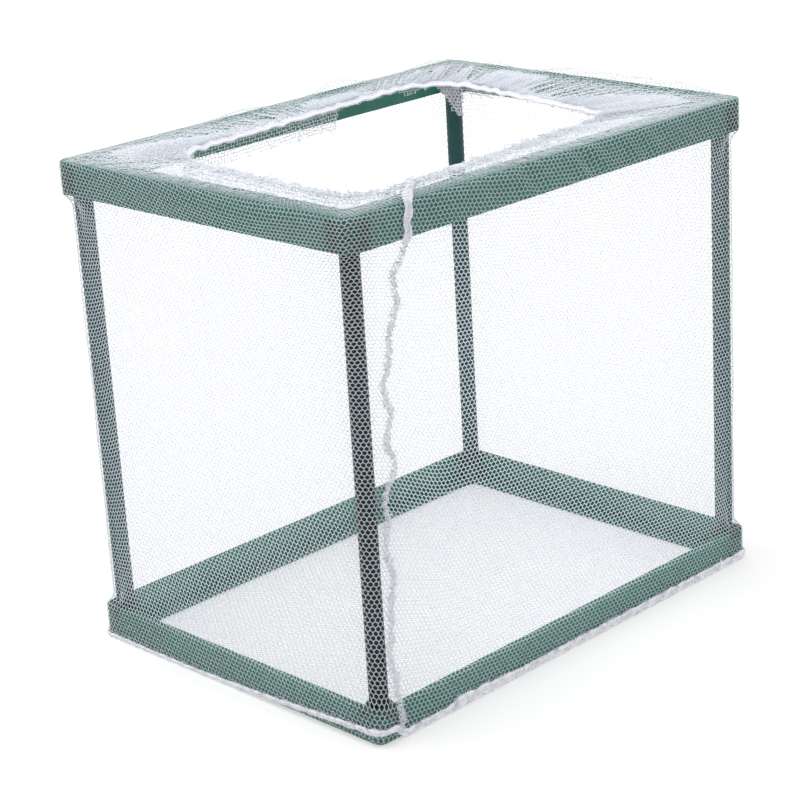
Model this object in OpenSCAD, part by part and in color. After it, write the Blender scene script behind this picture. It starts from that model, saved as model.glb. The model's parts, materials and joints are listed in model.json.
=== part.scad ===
// Breeding box for fish fry: a knock-down plastic frame inside a fine net cover with a gathered mouth.
// The origin is at the middle of the underside. X runs along the length, Y from front to back, Z up.
// The netting is drawn with wide cells. The gathers at the mouth are drawn as main folds.

/* [Frame] */
// Outside length of the frame along X
frame_w = 160; // [130:1:240]
// Outside depth of the frame along Y
frame_d = 116; // [96:1:200]
// Height of the frame over both rings
frame_h = 144; // [80:1:220]
// Outside corner radius of the rings
corner_r = 3; // [2:0.5:6]

/* [Rings] */
// Height of each ring
ring_h = 9.5; // [7:0.5:16]
// Thickness of the upright wall of a ring
ring_wall = 2; // [1.2:0.1:3]
// Width of the flange of a ring, measured from its outer face
flange_w = 6.5; // [5:0.5:9]
// Thickness of the flange
flange_t = 1.6; // [1:0.1:3]
// Corner radius of the opening that the flange leaves
opening_r = 3; // [1:0.5:8]
// Rounding of the outer rim edge of a ring
rim_r = 0.5; // [0.2:0.1:1]

/* [Posts] */
// Diameter of a corner post
post_d = 5.3; // [4:0.1:7]
// Wall of the socket that holds a post
socket_wall = 1; // [0.8:0.1:2]
// Radial clearance of a post in its socket
socket_gap = 0.1; // [0.05:0.01:0.3]
// Clearance between the end of a post and the bottom of its socket
post_end_gap = 0.2; // [0.1:0.1:0.5]
// Chamfer on both ends of a post
post_chamfer = 0.6; // [0.2:0.1:1]

/* [Netting] */
// Thickness of the netting
net_t = 0.5; // [0.4:0.1:1]
// Distance between the centres of two neighbouring cells
cell_pitch = 24.5; // [18:0.5:40]
// Width of a strand between two cells
strand_w = 1.2; // [0.8:0.1:3]
// Plain hem along the edges of each net
hem_w = 2; // [1:0.5:6]

/* [Mouth] */
// Thickness of the elastic cord in the hem of the mouth
elastic_d = 1.2; // [0.8:0.1:3]
// Distance of the front left corner of the mouth from the left and front faces
mouth_front_left = [15, 11]; // [10:1:30]
// Distance of the front right corner of the mouth from the right and front faces
mouth_front_right = [38, 18]; // [10:1:45]
// Distance of the back right corner of the mouth from the right and back faces
mouth_back_right = [25, 16]; // [10:1:40]
// Distance of the back left corner of the mouth from the left and back faces
mouth_back_left = [20, 25]; // [10:1:40]
// Corner radii of the mouth: front left, front right, back right, back left
mouth_r = [12, 8, 16, 14]; // [4:1:18]
// Height of the gathers beside the elastic, above and below the rim
gather_h = 0.9; // [0.3:0.1:2]
// Length of rim that one gather takes up
gather_pitch = 11; // [6:1:24]
// Clearance between the gathered netting and the elastic
hem_gap = 0.3; // [0.2:0.1:0.6]

/* [Frill] */
// Depth of the loose frill at its deepest, on the left and at the back
frill_h = 6; // [3:0.5:12]
// Depth of the frill where it is trimmed short
frill_short = 1.5; // [1:0.5:3]
// How far the waves of the frill swing to each side
frill_wave = 0.8; // [0.2:0.1:1.5]
// Number of waves of the frill along one side of the mouth
frill_waves = 5; // [3:1:10]

/* [Seams] */
// Width of the upright seam that closes the wall netting
side_seam_w = 1.7; // [1:0.1:4]
// How far the seams stand out from the netting
seam_t = 1; // [0.4:0.1:2]
// Height of the seam that joins the walls to the floor
floor_seam_h = 3; // [2:0.5:6]
// Bevel on both edges of the floor seam
floor_seam_bevel = 0.6; // [0.2:0.1:0.9]

/* [Hidden] */

// Smoothness of the arcs
$fn = 48;
// Overshoot of a cut past the face that it opens
cut = 1;
// Colours of the materials
ring_colour = "#7cb7a4";
post_colour = "#3f6f70";
net_colour = "#eef0f2";
seam_colour = "#d3d3e2";
elastic_colour = "#c3c1dc";

// Places along Z, from the floor net up
ring_low_z = net_t;
ring_top_z = net_t + frame_h;
mouth_z = ring_top_z + net_t / 2;
// Distance of the centre of a post from both outer faces of the frame
post_inset = ring_wall + socket_gap + post_d / 2;
post_length = frame_h - 2 * flange_t - 2 * post_end_gap;
// Outside size of the netting
net_w = frame_w + 2 * net_t;
net_d = frame_d + 2 * net_t;
net_r = corner_r + net_t;

// Corners of the mouth, anticlockwise from the front left as seen from above
mouth = [
    [mouth_front_left[0] - frame_w / 2, mouth_front_left[1] - frame_d / 2],
    [frame_w / 2 - mouth_front_right[0], mouth_front_right[1] - frame_d / 2],
    [frame_w / 2 - mouth_back_right[0], frame_d / 2 - mouth_back_right[1]],
    [mouth_back_left[0] - frame_w / 2, frame_d / 2 - mouth_back_left[1]]
];

// Corners of the frame in the same order, as signs
rail_corner = [[-1, -1], [1, -1], [1, 1], [-1, 1]];

// Route of the side seam up the front: distance from the left end of the frame, share of the height
side_seam_route = [
    [7, 0.00], [8, 0.06], [6.5, 0.14], [7, 0.22], [9, 0.29], [7.5, 0.38], [8.5, 0.47],
    [12, 0.52], [10, 0.57], [11.5, 0.62], [10, 0.67], [13, 0.76], [15.5, 0.82],
    [15, 0.87], [18, 0.91], [20.5, 0.95], [21.5, 1.00]
];

// Number of steps along each gather and each frill wave
steps_per_fold = 4;
// Rows of points between the rim and the mouth
gather_rows = 3;
// Steps along half of each bend of the elastic, and sides of its section
bend_steps = 4;
elastic_sides = 8;

// Helpers for the path of the mouth
function unit(v) = v / norm(v);
function turn(v) = [v[1], -v[0]];
function mix(a, b, f) = a + (b - a) * f;
function toward(i, step) = unit(mouth[(i + step + 4) % 4] - mouth[i]);
function half_angle(i) = acos(toward(i, 1) * toward(i, -1)) / 2;
function tangent_length(i) = mouth_r[i] / tan(half_angle(i));
function arc_centre(i) = mouth[i] + unit(toward(i, 1) + toward(i, -1)) * mouth_r[i] / sin(half_angle(i));
function arc_turn(i) = 180 - 2 * half_angle(i);
function arc_start(i) = mouth[i] + toward(i, -1) * tangent_length(i);
function arc_end(i) = mouth[i] + toward(i, 1) * tangent_length(i);
function arc_angle(i) = let(d = arc_start(i) - arc_centre(i)) atan2(d[1], d[0]);
function half_arc(i) = mouth_r[i] * arc_turn(i) / 2 * PI / 180;
function side_straight(i) = norm(arc_start((i + 1) % 4) - arc_end(i));
function side_length(i) = half_arc(i) + side_straight(i) + half_arc((i + 1) % 4);
function on_arc(i, angle, out) = arc_centre(i) + (mouth_r[i] + out) * [cos(angle), sin(angle)];

// Point on the mouth, from the middle of corner i (f = 0) to the middle of the next corner (f = 1),
// shifted outwards by out
function mouth_point(i, f, out) =
    let(j = (i + 1) % 4, d = f * side_length(i), past = d - half_arc(i) - side_straight(i))
    d < half_arc(i)
        ? on_arc(i, arc_angle(i) + arc_turn(i) / 2 + d / mouth_r[i] * 180 / PI, out)
        : past > 0
            ? on_arc(j, arc_angle(j) + past / mouth_r[j] * 180 / PI, out)
            : arc_end(i) + toward(i, 1) * (d - half_arc(i)) + turn(toward(i, 1)) * out;

// Point on the rim of the frame at a distance inside its outer face
function rail_end(i, inset) = [rail_corner[i][0] * (frame_w / 2 - inset), rail_corner[i][1] * (frame_d / 2 - inset)];
function rail_point(i, f, inset) = mix(rail_end(i, inset), rail_end((i + 1) % 4, inset), f);

// Point on the outer edge of the netting, drawn in where the corner is round
function edge_point(i, f) =
    let(
        p = rail_point(i, f, -net_t),
        c = [sign(p[0]) * (net_w / 2 - net_r), sign(p[1]) * (net_d / 2 - net_r)],
        q = p - c,
        in_corner = abs(p[0]) > abs(c[0]) && abs(p[1]) > abs(c[1])
    )
    in_corner ? c + unit(q) * net_r : p;

// Rectangle with round corners
module rounded(w, d, r) {
    square([w - 2 * r, d], center = true);
    square([w, d - 2 * r], center = true);
    for (x = [-1, 1], y = [-1, 1]) {
        translate([x * (w / 2 - r), y * (d / 2 - r)]) circle(r);
    }
}

// Section across the rim, w wide, whose two lower edges are rounded
module rim_section(w) {
    translate([0, ring_h / 2 + rim_r / 2]) square([w, ring_h - rim_r], center = true);
    translate([0, ring_h / 2]) square([w - 2 * rim_r, ring_h], center = true);
    for (x = [-1, 1]) translate([x * (w / 2 - rim_r), rim_r]) circle(rim_r);
}

// Outer form of a ring with its rim edge rounded and its flange side down
module ring_form() {
    rotate([90, 0, 90])
        translate([0, 0, corner_r - frame_w / 2])
            linear_extrude(frame_w - 2 * corner_r) rim_section(frame_d);
    rotate([90, 0, 0])
        translate([0, 0, corner_r - frame_d / 2])
            linear_extrude(frame_d - 2 * corner_r) rim_section(frame_w);
    for (x = [-1, 1], y = [-1, 1]) {
        translate([x * (frame_w / 2 - corner_r), y * (frame_d / 2 - corner_r), 0])
            rotate_extrude() intersection() {
                rim_section(2 * corner_r);
                square([corner_r, ring_h]);
            }
    }
}

// Four places at the centres of the posts
module at_posts() {
    for (x = [-1, 1], y = [-1, 1]) {
        translate([x * (frame_w / 2 - post_inset), y * (frame_d / 2 - post_inset), 0]) children();
    }
}

// One moulded ring, flange down: an L section with a blind socket in each corner
module ring() {
    difference() {
        intersection() {
            ring_form();
            union() {
                linear_extrude(ring_h) difference() {
                    rounded(frame_w, frame_d, corner_r);
                    rounded(frame_w - 2 * ring_wall, frame_d - 2 * ring_wall, max(corner_r - ring_wall, rim_r));
                }
                linear_extrude(flange_t) difference() {
                    rounded(frame_w, frame_d, corner_r);
                    rounded(frame_w - 2 * flange_w, frame_d - 2 * flange_w, opening_r);
                }
                at_posts() cylinder(h = ring_h, d = post_d + 2 * socket_gap + 2 * socket_wall);
            }
        }
        at_posts() translate([0, 0, flange_t]) cylinder(h = ring_h, d = post_d + 2 * socket_gap);
    }
}

module top_ring() {
    color(ring_colour) translate([0, 0, ring_top_z]) mirror([0, 0, 1]) ring();
}

module bottom_ring() {
    color(ring_colour) translate([0, 0, ring_low_z]) ring();
}

// Corner post: a plain round rod with bevelled ends, on the side given by the signs x and y
module post(x, y) {
    r = post_d / 2;
    place = [x * (frame_w / 2 - post_inset), y * (frame_d / 2 - post_inset), ring_low_z + flange_t + post_end_gap];
    color(post_colour) translate(place) rotate_extrude() polygon([
        [0, 0], [r - post_chamfer, 0], [r, post_chamfer],
        [r, post_length - post_chamfer], [r - post_chamfer, post_length], [0, post_length]
    ]);
}

module post_front_left() { post(-1, -1); }
module post_front_right() { post(1, -1); }
module post_back_left() { post(-1, 1); }
module post_back_right() { post(1, 1); }

// Hexagonal cells in level rows that fill a rectangle of w by h about the origin
module cells(w, h) {
    row = cell_pitch * sqrt(3) / 2;
    rows = ceil(h / row / 2);
    columns = ceil(w / cell_pitch / 2) + 1;
    reach = cell_pitch / 4;
    intersection() {
        square([w, h], center = true);
        for (j = [-rows : rows], i = [-columns : columns]) {
            x = (i + (j % 2 == 0 ? 0 : 0.5)) * cell_pitch;
            y = j * row;
            if (abs(x) < w / 2 + reach && abs(y) < h / 2 + reach) {
                translate([x, y]) rotate(30) circle((cell_pitch - strand_w) / sqrt(3), $fn = 6);
            }
        }
    }
}

// Front wall net of a frame w by d: it lies on both rings, and its ends go half round the corners
module wall_net(w, d) {
    x = w / 2 - corner_r;
    y = d / 2 - corner_r;
    reach = corner_r + net_t + cut;
    color(net_colour) translate([0, 0, ring_low_z]) difference() {
        linear_extrude(frame_h) intersection() {
            difference() {
                rounded(w + 2 * net_t, d + 2 * net_t, net_r);
                rounded(w, d, corner_r);
            }
            polygon([[-x, -y], [x, -y], [x + reach, -y - reach], [-x - reach, -y - reach]]);
        }
        translate([0, -d / 2 + cut, frame_h / 2]) rotate([90, 0, 0])
            linear_extrude(net_t + 2 * cut) cells(w - 2 * corner_r - 2 * hem_w, frame_h - 2 * hem_w);
    }
}

module net_front() { wall_net(frame_w, frame_d); }
module net_back() { rotate([0, 0, 180]) wall_net(frame_w, frame_d); }
module net_left() { rotate([0, 0, -90]) wall_net(frame_d, frame_w); }
module net_right() { rotate([0, 0, 90]) wall_net(frame_d, frame_w); }

// Net under the bottom ring, on which the box stands
module net_floor() {
    color(net_colour) linear_extrude(net_t) difference() {
        rounded(net_w, net_d, net_r);
        cells(frame_w - 2 * flange_w - 2 * hem_w, frame_d - 2 * flange_w - 2 * hem_w);
    }
}

// Gathered net over side i of the rim: flat on the flange, then in folds that deepen towards the mouth
module mouth_net(i) {
    folds = round(side_length(i) / gather_pitch);
    n = folds * steps_per_fold;
    m = gather_rows;
    reach = elastic_d / 2 + hem_gap;
    function share(j) = (j - 1) / (m - 1);
    function plan(k, j) =
        j == 0
            ? edge_point(i, k / n)
            : mix(rail_point(i, k / n, flange_w), mouth_point(i, k / n, reach), share(j));
    function lift(k, j) = j == 0 ? 0 : gather_h * share(j) * sin(360 * folds * k / n);
    function corner(k, j, up) = concat(plan(k, j), ring_top_z + lift(k, j) + up * net_t);
    function at(k, j, up) = (k * (m + 1) + j) * 2 + up;
    points = [for (k = [0 : n], j = [0 : m], up = [0, 1]) corner(k, j, up)];
    faces = concat(
        [for (k = [0 : n - 1], j = [0 : m - 1]) each [
            [at(k, j, 1), at(k, j + 1, 1), at(k + 1, j + 1, 1)],
            [at(k, j, 1), at(k + 1, j + 1, 1), at(k + 1, j, 1)],
            [at(k, j, 0), at(k + 1, j + 1, 0), at(k, j + 1, 0)],
            [at(k, j, 0), at(k + 1, j, 0), at(k + 1, j + 1, 0)]
        ]],
        [for (k = [0 : n - 1]) each [
            [at(k, 0, 0), at(k, 0, 1), at(k + 1, 0, 1)],
            [at(k, 0, 0), at(k + 1, 0, 1), at(k + 1, 0, 0)],
            [at(k, m, 0), at(k + 1, m, 1), at(k, m, 1)],
            [at(k, m, 0), at(k + 1, m, 0), at(k + 1, m, 1)]
        ]],
        [for (j = [0 : m - 1]) each [
            [at(0, j, 0), at(0, j + 1, 1), at(0, j, 1)],
            [at(0, j, 0), at(0, j + 1, 0), at(0, j + 1, 1)],
            [at(n, j, 0), at(n, j, 1), at(n, j + 1, 1)],
            [at(n, j, 0), at(n, j + 1, 1), at(n, j + 1, 0)]
        ]]
    );
    color(net_colour) polyhedron(points, faces);
}

module mouth_net_front() { mouth_net(0); }
module mouth_net_right() { mouth_net(1); }
module mouth_net_back() { mouth_net(2); }
module mouth_net_left() { mouth_net(3); }

// Elastic cord round the mouth: one closed tube, swept along the four runs and the four bends
module elastic_cord() {
    // Places along side i where the tube has a ring of points, closer together in the bends
    function stops(i) =
        let(first = half_arc(i) / side_length(i), last = half_arc((i + 1) % 4) / side_length(i))
        concat(
            [for (k = [0 : bend_steps]) first * k / bend_steps],
            [for (k = [bend_steps : -1 : 1]) 1 - last * k / bend_steps]
        );
    rings = [for (i = [0 : 3]) for (f = stops(i)) [i, f]];
    n = len(rings);
    points = [for (p = rings, a = [0 : 360 / elastic_sides : 359]) concat(
        mouth_point(p[0], p[1], elastic_d / 2 * cos(a)), mouth_z + elastic_d / 2 * sin(a)
    )];
    function at(k, j) = (k % n) * elastic_sides + j % elastic_sides;
    faces = [for (k = [0 : n - 1], j = [0 : elastic_sides - 1]) each [
        [at(k, j), at(k, j + 1), at(k + 1, j + 1)],
        [at(k, j), at(k + 1, j + 1), at(k + 1, j)]
    ]];
    color(elastic_colour) polyhedron(points, faces);
}

// Loose frill below the elastic: a waving band, deep on the left and at the back and short elsewhere
module mouth_frill() {
    per_side = frill_waves * steps_per_fold;
    n = 4 * per_side;
    top = mouth_z - elastic_d / 2 - hem_gap;
    function side(k) = floor(k / per_side) % 4;
    function along(k) = (k % per_side) / per_side;
    // 1 in the middle of the deep stretch about the back left corner, falling to 0 on either side
    function deepness(k) = pow(max(0, cos(360 * (k / n - 0.72))), 2);
    function depth(k) = mix(frill_short, frill_h, deepness(k));
    function swing(k) = frill_wave * sin(360 * k / steps_per_fold);
    function ring_point(k, out) = mouth_point(side(k), along(k), out);
    points = [for (k = [0 : n - 1]) each [
        concat(ring_point(k, net_t / 2), top),
        concat(ring_point(k, -net_t / 2), top),
        concat(ring_point(k, swing(k) - net_t / 2), top - depth(k)),
        concat(ring_point(k, swing(k) + net_t / 2), top - depth(k))
    ]];
    function at(k, j) = (k % n) * 4 + j % 4;
    faces = [for (k = [0 : n - 1], j = [0 : 3]) each [
        [at(k, j), at(k, j + 1), at(k + 1, j + 1)],
        [at(k, j), at(k + 1, j + 1), at(k + 1, j)]
    ]];
    color(net_colour) polyhedron(points, faces);
}

// Upright seam on the front net, from the floor seam to the rim and a short way over it
module side_seam() {
    low = ring_low_z + floor_seam_h;
    high = ring_top_z + net_t;
    span = high - low;
    function place(p) = [p[0] - frame_w / 2, low + p[1] * span];
    half = side_seam_w / 2;
    last = side_seam_route[len(side_seam_route) - 1];
    color(seam_colour) {
        translate([0, -net_d / 2, 0]) rotate([90, 0, 0]) linear_extrude(seam_t) polygon(concat(
            [for (p = side_seam_route) place(p) - [half, 0]],
            [for (k = [len(side_seam_route) - 1 : -1 : 0]) place(side_seam_route[k]) + [half, 0]]
        ));
        translate([last[0] - frame_w / 2 - half, -net_d / 2 - seam_t, high]) cube([side_seam_w, flange_w + seam_t, seam_t]);
    }
}

// Section of the floor seam: x is the distance out from the netting
module seam_section() {
    polygon([
        [0, 0], [seam_t - floor_seam_bevel, 0], [seam_t, floor_seam_bevel],
        [seam_t, floor_seam_h - floor_seam_bevel], [seam_t - floor_seam_bevel, floor_seam_h], [0, floor_seam_h]
    ]);
}

// One straight run of the floor seam along X, outside a face at distance y
module seam_run(length, y) {
    rotate([90, 0, 90]) translate([y, 0, -length / 2]) linear_extrude(length) seam_section();
}

// Seam that joins the walls to the floor: a bevelled band all round the foot of the netting
module floor_seam() {
    color(seam_colour) {
        for (a = [0, 180]) rotate(a) {
            seam_run(net_w - 2 * net_r, net_d / 2);
            rotate(90) seam_run(net_d - 2 * net_r, net_w / 2);
        }
        for (x = [-1, 1], y = [-1, 1]) {
            translate([x * (net_w / 2 - net_r), y * (net_d / 2 - net_r), 0])
                rotate(x > 0 ? (y > 0 ? 0 : 270) : (y > 0 ? 90 : 180))
                    rotate_extrude(angle = 90) translate([net_r, 0]) seam_section();
        }
    }
}

top_ring();
bottom_ring();
post_front_left();
post_front_right();
post_back_left();
post_back_right();
net_front();
net_back();
net_left();
net_right();
net_floor();
mouth_net_front();
mouth_net_right();
mouth_net_back();
mouth_net_left();
elastic_cord();
mouth_frill();
side_seam();
floor_seam();
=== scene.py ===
import json
import math

import bpy
import numpy as np
from mathutils import Matrix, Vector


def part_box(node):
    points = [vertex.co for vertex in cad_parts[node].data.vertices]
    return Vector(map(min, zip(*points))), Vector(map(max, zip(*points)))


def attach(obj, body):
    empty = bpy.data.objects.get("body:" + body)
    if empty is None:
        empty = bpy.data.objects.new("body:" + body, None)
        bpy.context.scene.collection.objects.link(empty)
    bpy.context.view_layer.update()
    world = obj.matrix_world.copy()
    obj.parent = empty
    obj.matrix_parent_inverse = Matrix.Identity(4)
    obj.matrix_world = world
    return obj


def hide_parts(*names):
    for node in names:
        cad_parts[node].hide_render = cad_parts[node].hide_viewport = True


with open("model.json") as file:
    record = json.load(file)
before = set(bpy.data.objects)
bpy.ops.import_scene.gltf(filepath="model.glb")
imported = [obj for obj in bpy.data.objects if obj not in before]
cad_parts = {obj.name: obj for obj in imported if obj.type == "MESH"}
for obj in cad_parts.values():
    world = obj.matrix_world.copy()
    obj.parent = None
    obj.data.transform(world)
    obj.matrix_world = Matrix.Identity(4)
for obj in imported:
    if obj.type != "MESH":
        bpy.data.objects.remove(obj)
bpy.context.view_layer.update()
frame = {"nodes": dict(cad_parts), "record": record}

# Every length below is in millimetres unless its name says otherwise. Meshes are written in metres.
MM = 0.001
BODY = "root"
SIDES = ["front", "right", "back", "left"]

# Camera: place, direction of its axes and lens, from a fit of the frame's corners in the photograph
CAMERA_PLACE = (-447.1, -449.4, 286.1)
CAMERA_AZIMUTH = 44.28
CAMERA_ELEVATION = 19.39
CAMERA_ROLL = -3.44
CAMERA_LENS = 102.5

# Netting: distance between columns of cells, the same in the middle of each wall, between rows of cells, width and
# thickness of a strand
CELL_W = 1.55
WALL_CELL_W = [1.66, 1.55, 1.55, 1.40]
CELL_H = 1.12
STRAND_W = 0.30
STRAND_T = 0.24
# How far a hub lies above or below its line, by the distance between lines
HUB_RISE = 0.22
# The strip is wrapped askew: its rows come down by this many on the way round
ROWS_DOWN = 36
# Cloth beyond the flange is this much longer than the gap it crosses
SLACK = 1.12
# Columns of cells are drawn this much closer together where the cloth is folded over itself at the mouth
GATHER = 1.55
# Gap that keeps the netting clear of the plastic
CLEAR = 0.12

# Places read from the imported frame
ring_low, ring_high = (np.array(p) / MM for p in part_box("top_ring"))
base_low, _ = (np.array(p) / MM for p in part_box("bottom_ring"))
FRAME_W, FRAME_D = (ring_high - ring_low)[:2]
TOP_Z = ring_high[2]
RING_H = (ring_high - ring_low)[2]
BASE_Z = base_low[2]
CORNER_R = 3.0
POST_INSET = 4.75
FLANGE_W = 6.5

# The mouth: corner insets from the frame's faces and corner radii, anticlockwise from the front left
MOUTH_INSET = [(15, 11), (38, 18), (25, 16), (20, 25)]
MOUTH_R = [12, 8, 16, 14]


def unit(v):
    return v / np.maximum(np.linalg.norm(v, axis=-1, keepdims=True), 1e-12)


def smooth(a, b, x):
    """0 below a, 1 above b, smooth between."""
    t = np.clip((x - a) / (b - a), 0, 1)
    return t * t * (3 - 2 * t)


def waves(seed, count, short, long, round_to=None, along=False):
    """Random plane waves with lengths from short to long, the same on each run. round_to is the length of a closed loop
    that the waves fit a whole number of times. Waves along u only have no part in v."""
    rng = np.random.default_rng(seed)
    length = np.exp(rng.uniform(math.log(short), math.log(long), count))
    heading = rng.uniform(0, 2 * math.pi, count)
    if along:
        heading = 0 * heading
    k = 2 * math.pi / length
    ku, kv = k * np.cos(heading), k * np.sin(heading)
    if round_to:
        whole = 2 * math.pi / round_to
        ku = np.round(ku / whole) * whole
    return ku, kv, rng.uniform(0, 2 * math.pi, count), length / length.sum()


def ripple(w, u, v):
    """The sum of the waves w at u, v, about -1 to 1."""
    ku, kv, phase, share = w
    return (np.sin(u[..., None] * ku + v[..., None] * kv + phase) * share).sum(-1) * 1.8


class Loop:
    """A closed outline of four straight sides with rounded corners, anticlockwise from the front left. A place on it is
    a side and a share f of the way from the middle of one corner to the middle of the next."""

    def __init__(self, corners, radii):
        c = np.array(corners, float)
        self.r = np.array(radii, float)
        self.ahead = unit(np.roll(c, -1, 0) - c)
        back = -np.roll(self.ahead, 1, 0)
        half = np.arccos((self.ahead * back).sum(1)) / 2
        self.centre = c + unit(self.ahead + back) * (self.r / np.sin(half))[:, None]
        start = c + back * (self.r / np.tan(half))[:, None]
        self.end = c + self.ahead * (self.r / np.tan(half))[:, None]
        d = start - self.centre
        self.angle = np.arctan2(d[:, 1], d[:, 0])
        self.turn = math.pi - 2 * half
        self.half_arc = self.r * self.turn / 2
        self.straight = np.linalg.norm(np.roll(start, -1, 0) - self.end, axis=1)
        self.length = self.half_arc + self.straight + np.roll(self.half_arc, -1)
        self.total = self.length.sum()
        self.starts = np.concatenate([[0], np.cumsum(self.length)])

    def place(self, s):
        """Side and share at a distance s along the whole loop."""
        s = np.mod(s, self.total)
        side = np.clip(np.searchsorted(self.starts, s, side="right") - 1, 0, 3)
        return side, (s - self.starts[side]) / self.length[side]

    def at(self, side, f):
        """Points and outward normals."""
        j = (side + 1) % 4
        d = f * self.length[side]
        past = d - self.half_arc[side] - self.straight[side]
        first, last = d < self.half_arc[side], past > 0
        turned = np.where(
            first,
            self.angle[side] + self.turn[side] / 2 + d / self.r[side],
            self.angle[j] + past / self.r[j],
        )
        c = np.where(first, side, j)
        out = np.stack([np.cos(turned), np.sin(turned)], -1)
        on_arc = self.centre[c] + out * self.r[c][..., None]
        ahead = self.ahead[side]
        on_line = self.end[side] + ahead * (d - self.half_arc[side])[..., None]
        flat = np.stack([ahead[..., 1], -ahead[..., 0]], -1)
        bent = (first | last)[..., None]
        return np.where(bent, on_arc, on_line), np.where(bent, out, flat)


def box_loop(w, d, r):
    return Loop([(-w / 2, -d / 2), (w / 2, -d / 2), (w / 2, d / 2), (-w / 2, d / 2)], [r] * 4)


NET_OUT = CLEAR + STRAND_T / 2
rail = box_loop(FRAME_W + 2 * NET_OUT, FRAME_D + 2 * NET_OUT, CORNER_R + NET_OUT)
corner_signs = [(-1, -1), (1, -1), (1, 1), (-1, 1)]
mouth = Loop(
    [(x * (FRAME_W / 2 - a), y * (FRAME_D / 2 - b)) for (x, y), (a, b) in zip(corner_signs, MOUTH_INSET)],
    MOUTH_R,
)


def add_mesh(name, points, faces, material, shade_smooth=True):
    """A mesh object from points in millimetres and faces that all have the same number of corners."""
    mesh = bpy.data.meshes.new(name)
    points = np.ascontiguousarray(points, dtype=np.float32) * MM
    faces = np.ascontiguousarray(faces, dtype=np.int32)
    mesh.vertices.add(len(points))
    mesh.vertices.foreach_set("co", points.ravel())
    mesh.loops.add(faces.size)
    mesh.loops.foreach_set("vertex_index", faces.ravel())
    mesh.polygons.add(len(faces))
    mesh.polygons.foreach_set("loop_start", np.arange(0, faces.size, faces.shape[1], dtype=np.int32))
    mesh.update(calc_edges=True)
    mesh.polygons.foreach_set("use_smooth", np.full(len(faces), shade_smooth))
    mesh.materials.append(material)
    obj = bpy.data.objects.new(name, mesh)
    bpy.context.scene.collection.objects.link(obj)
    return obj


class Lattice:
    """Six-sided netting on a grid of hubs. Each hub meets three strands: one to each side and one up or down. A closed
    lattice may meet itself a few rows lower."""

    def __init__(self, lines, columns, closed, rows_down=0):
        self.lines, self.columns = lines, columns
        j, m = np.mgrid[0:lines, 0:columns]
        self.line, self.column = j.ravel(), m.ravel()
        self.high = (self.line + self.column) % 2 == 0

        def index(line, column):
            good = closed | ((column >= 0) & (column < columns))
            if closed:
                line = line - rows_down * (column // columns)
                column = column % columns
            good = good & (line >= 0) & (line < lines)
            return np.where(good, line * columns + np.clip(column, 0, columns - 1), -1)

        step = np.where(self.high, 1, -1)
        self.links = np.stack(
            [
                index(self.line, self.column + step),
                index(self.line + step, self.column),
                index(self.line, self.column - step),
            ],
            -1,
        )
        # A hub lies a little above or below its line, which gives the cells their six sides
        self.rise = np.where(self.high, HUB_RISE, -HUB_RISE)

    def spread(self, keep):
        """keep and the hubs to its right and above, so that pieces cut side by side meet."""
        wider = keep.copy()
        for slot in range(2):
            reach = self.links[:, slot]
            start = keep & self.high & (reach >= 0)
            wider[reach[start]] = True
        reach = self.links[:, 2]
        start = keep & ~self.high & (reach >= 0)
        wider[reach[start]] = True
        return wider

    def normals(self, hubs):
        """Unit normals at the hubs, outward where columns run right and lines up."""
        grid = hubs.reshape(self.lines, self.columns, 3)
        return unit(np.cross(np.gradient(grid, axis=1), np.gradient(grid, axis=0))).reshape(-1, 3)

    def strands(self, hubs, normals, keep, width=STRAND_W, thick=STRAND_T):
        """Points and faces of closed strands, lens-shaped across, joined at the hubs. keep marks the hubs to build."""
        built = (self.links >= 0) & keep[:, None] & keep[self.links]
        near = hubs[self.links]
        reach = near - hubs[:, None]
        arm = np.where((self.links >= 0)[..., None], unit(reach), 0)
        missing = (self.links < 0)[..., None]
        arm = np.where(missing, -unit(arm.sum(1))[:, None], arm)
        length = np.where(self.links >= 0, np.linalg.norm(reach, axis=-1), np.inf).min(1)
        side = unit(np.roll(arm, -1, 1) + np.roll(arm, -2, 1))
        spread = np.linalg.norm(np.roll(arm, -1, 1) - np.roll(arm, -2, 1), axis=-1) / 2
        out = np.minimum(width / 2 / np.maximum(spread, 0.45), 0.42 * length[:, None])
        corner = hubs[:, None] + side * out[..., None]
        lift = normals * thick / 2
        points = np.concatenate([(hubs + lift)[:, None], (hubs - lift)[:, None], corner], 1)
        faces = []
        hub = np.arange(len(hubs))
        for k in range(3):
            a = hub[self.high & built[:, k]]
            b = self.links[a, k]
            left, right = (k + 2) % 3 + 2, (k + 1) % 3 + 2
            a_left, a_right = a * 5 + left, a * 5 + right
            b_left, b_right = b * 5 + right, b * 5 + left
            faces.append(np.stack([a * 5, b * 5, b_left, a_left], -1))
            faces.append(np.stack([a * 5, a_right, b_right, b * 5], -1))
            faces.append(np.stack([a * 5 + 1, a_left, b_left, b * 5 + 1], -1))
            faces.append(np.stack([a * 5 + 1, b * 5 + 1, b_right, a_right], -1))
        # Strands that aren't built leave a hub open on that side, so it is closed there
        joined = np.zeros((len(hubs), 3), bool)
        for k in range(3):
            a = hub[self.high & built[:, k]]
            joined[a, k] = True
            joined[self.links[a, k], k] = True
        used = joined.any(1)
        for k in range(3):
            a = hub[used & ~joined[:, k]]
            left, right = (k + 2) % 3 + 2, (k + 1) % 3 + 2
            faces.append(np.stack([a * 5, a * 5 + right, a * 5 + 1, a * 5 + left], -1))
        faces = np.concatenate(faces)
        index = np.full(len(hubs) * 5, -1)
        kept = np.unique(faces)
        index[kept] = np.arange(len(kept))
        return points.reshape(-1, 3)[kept], index[faces]


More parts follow.
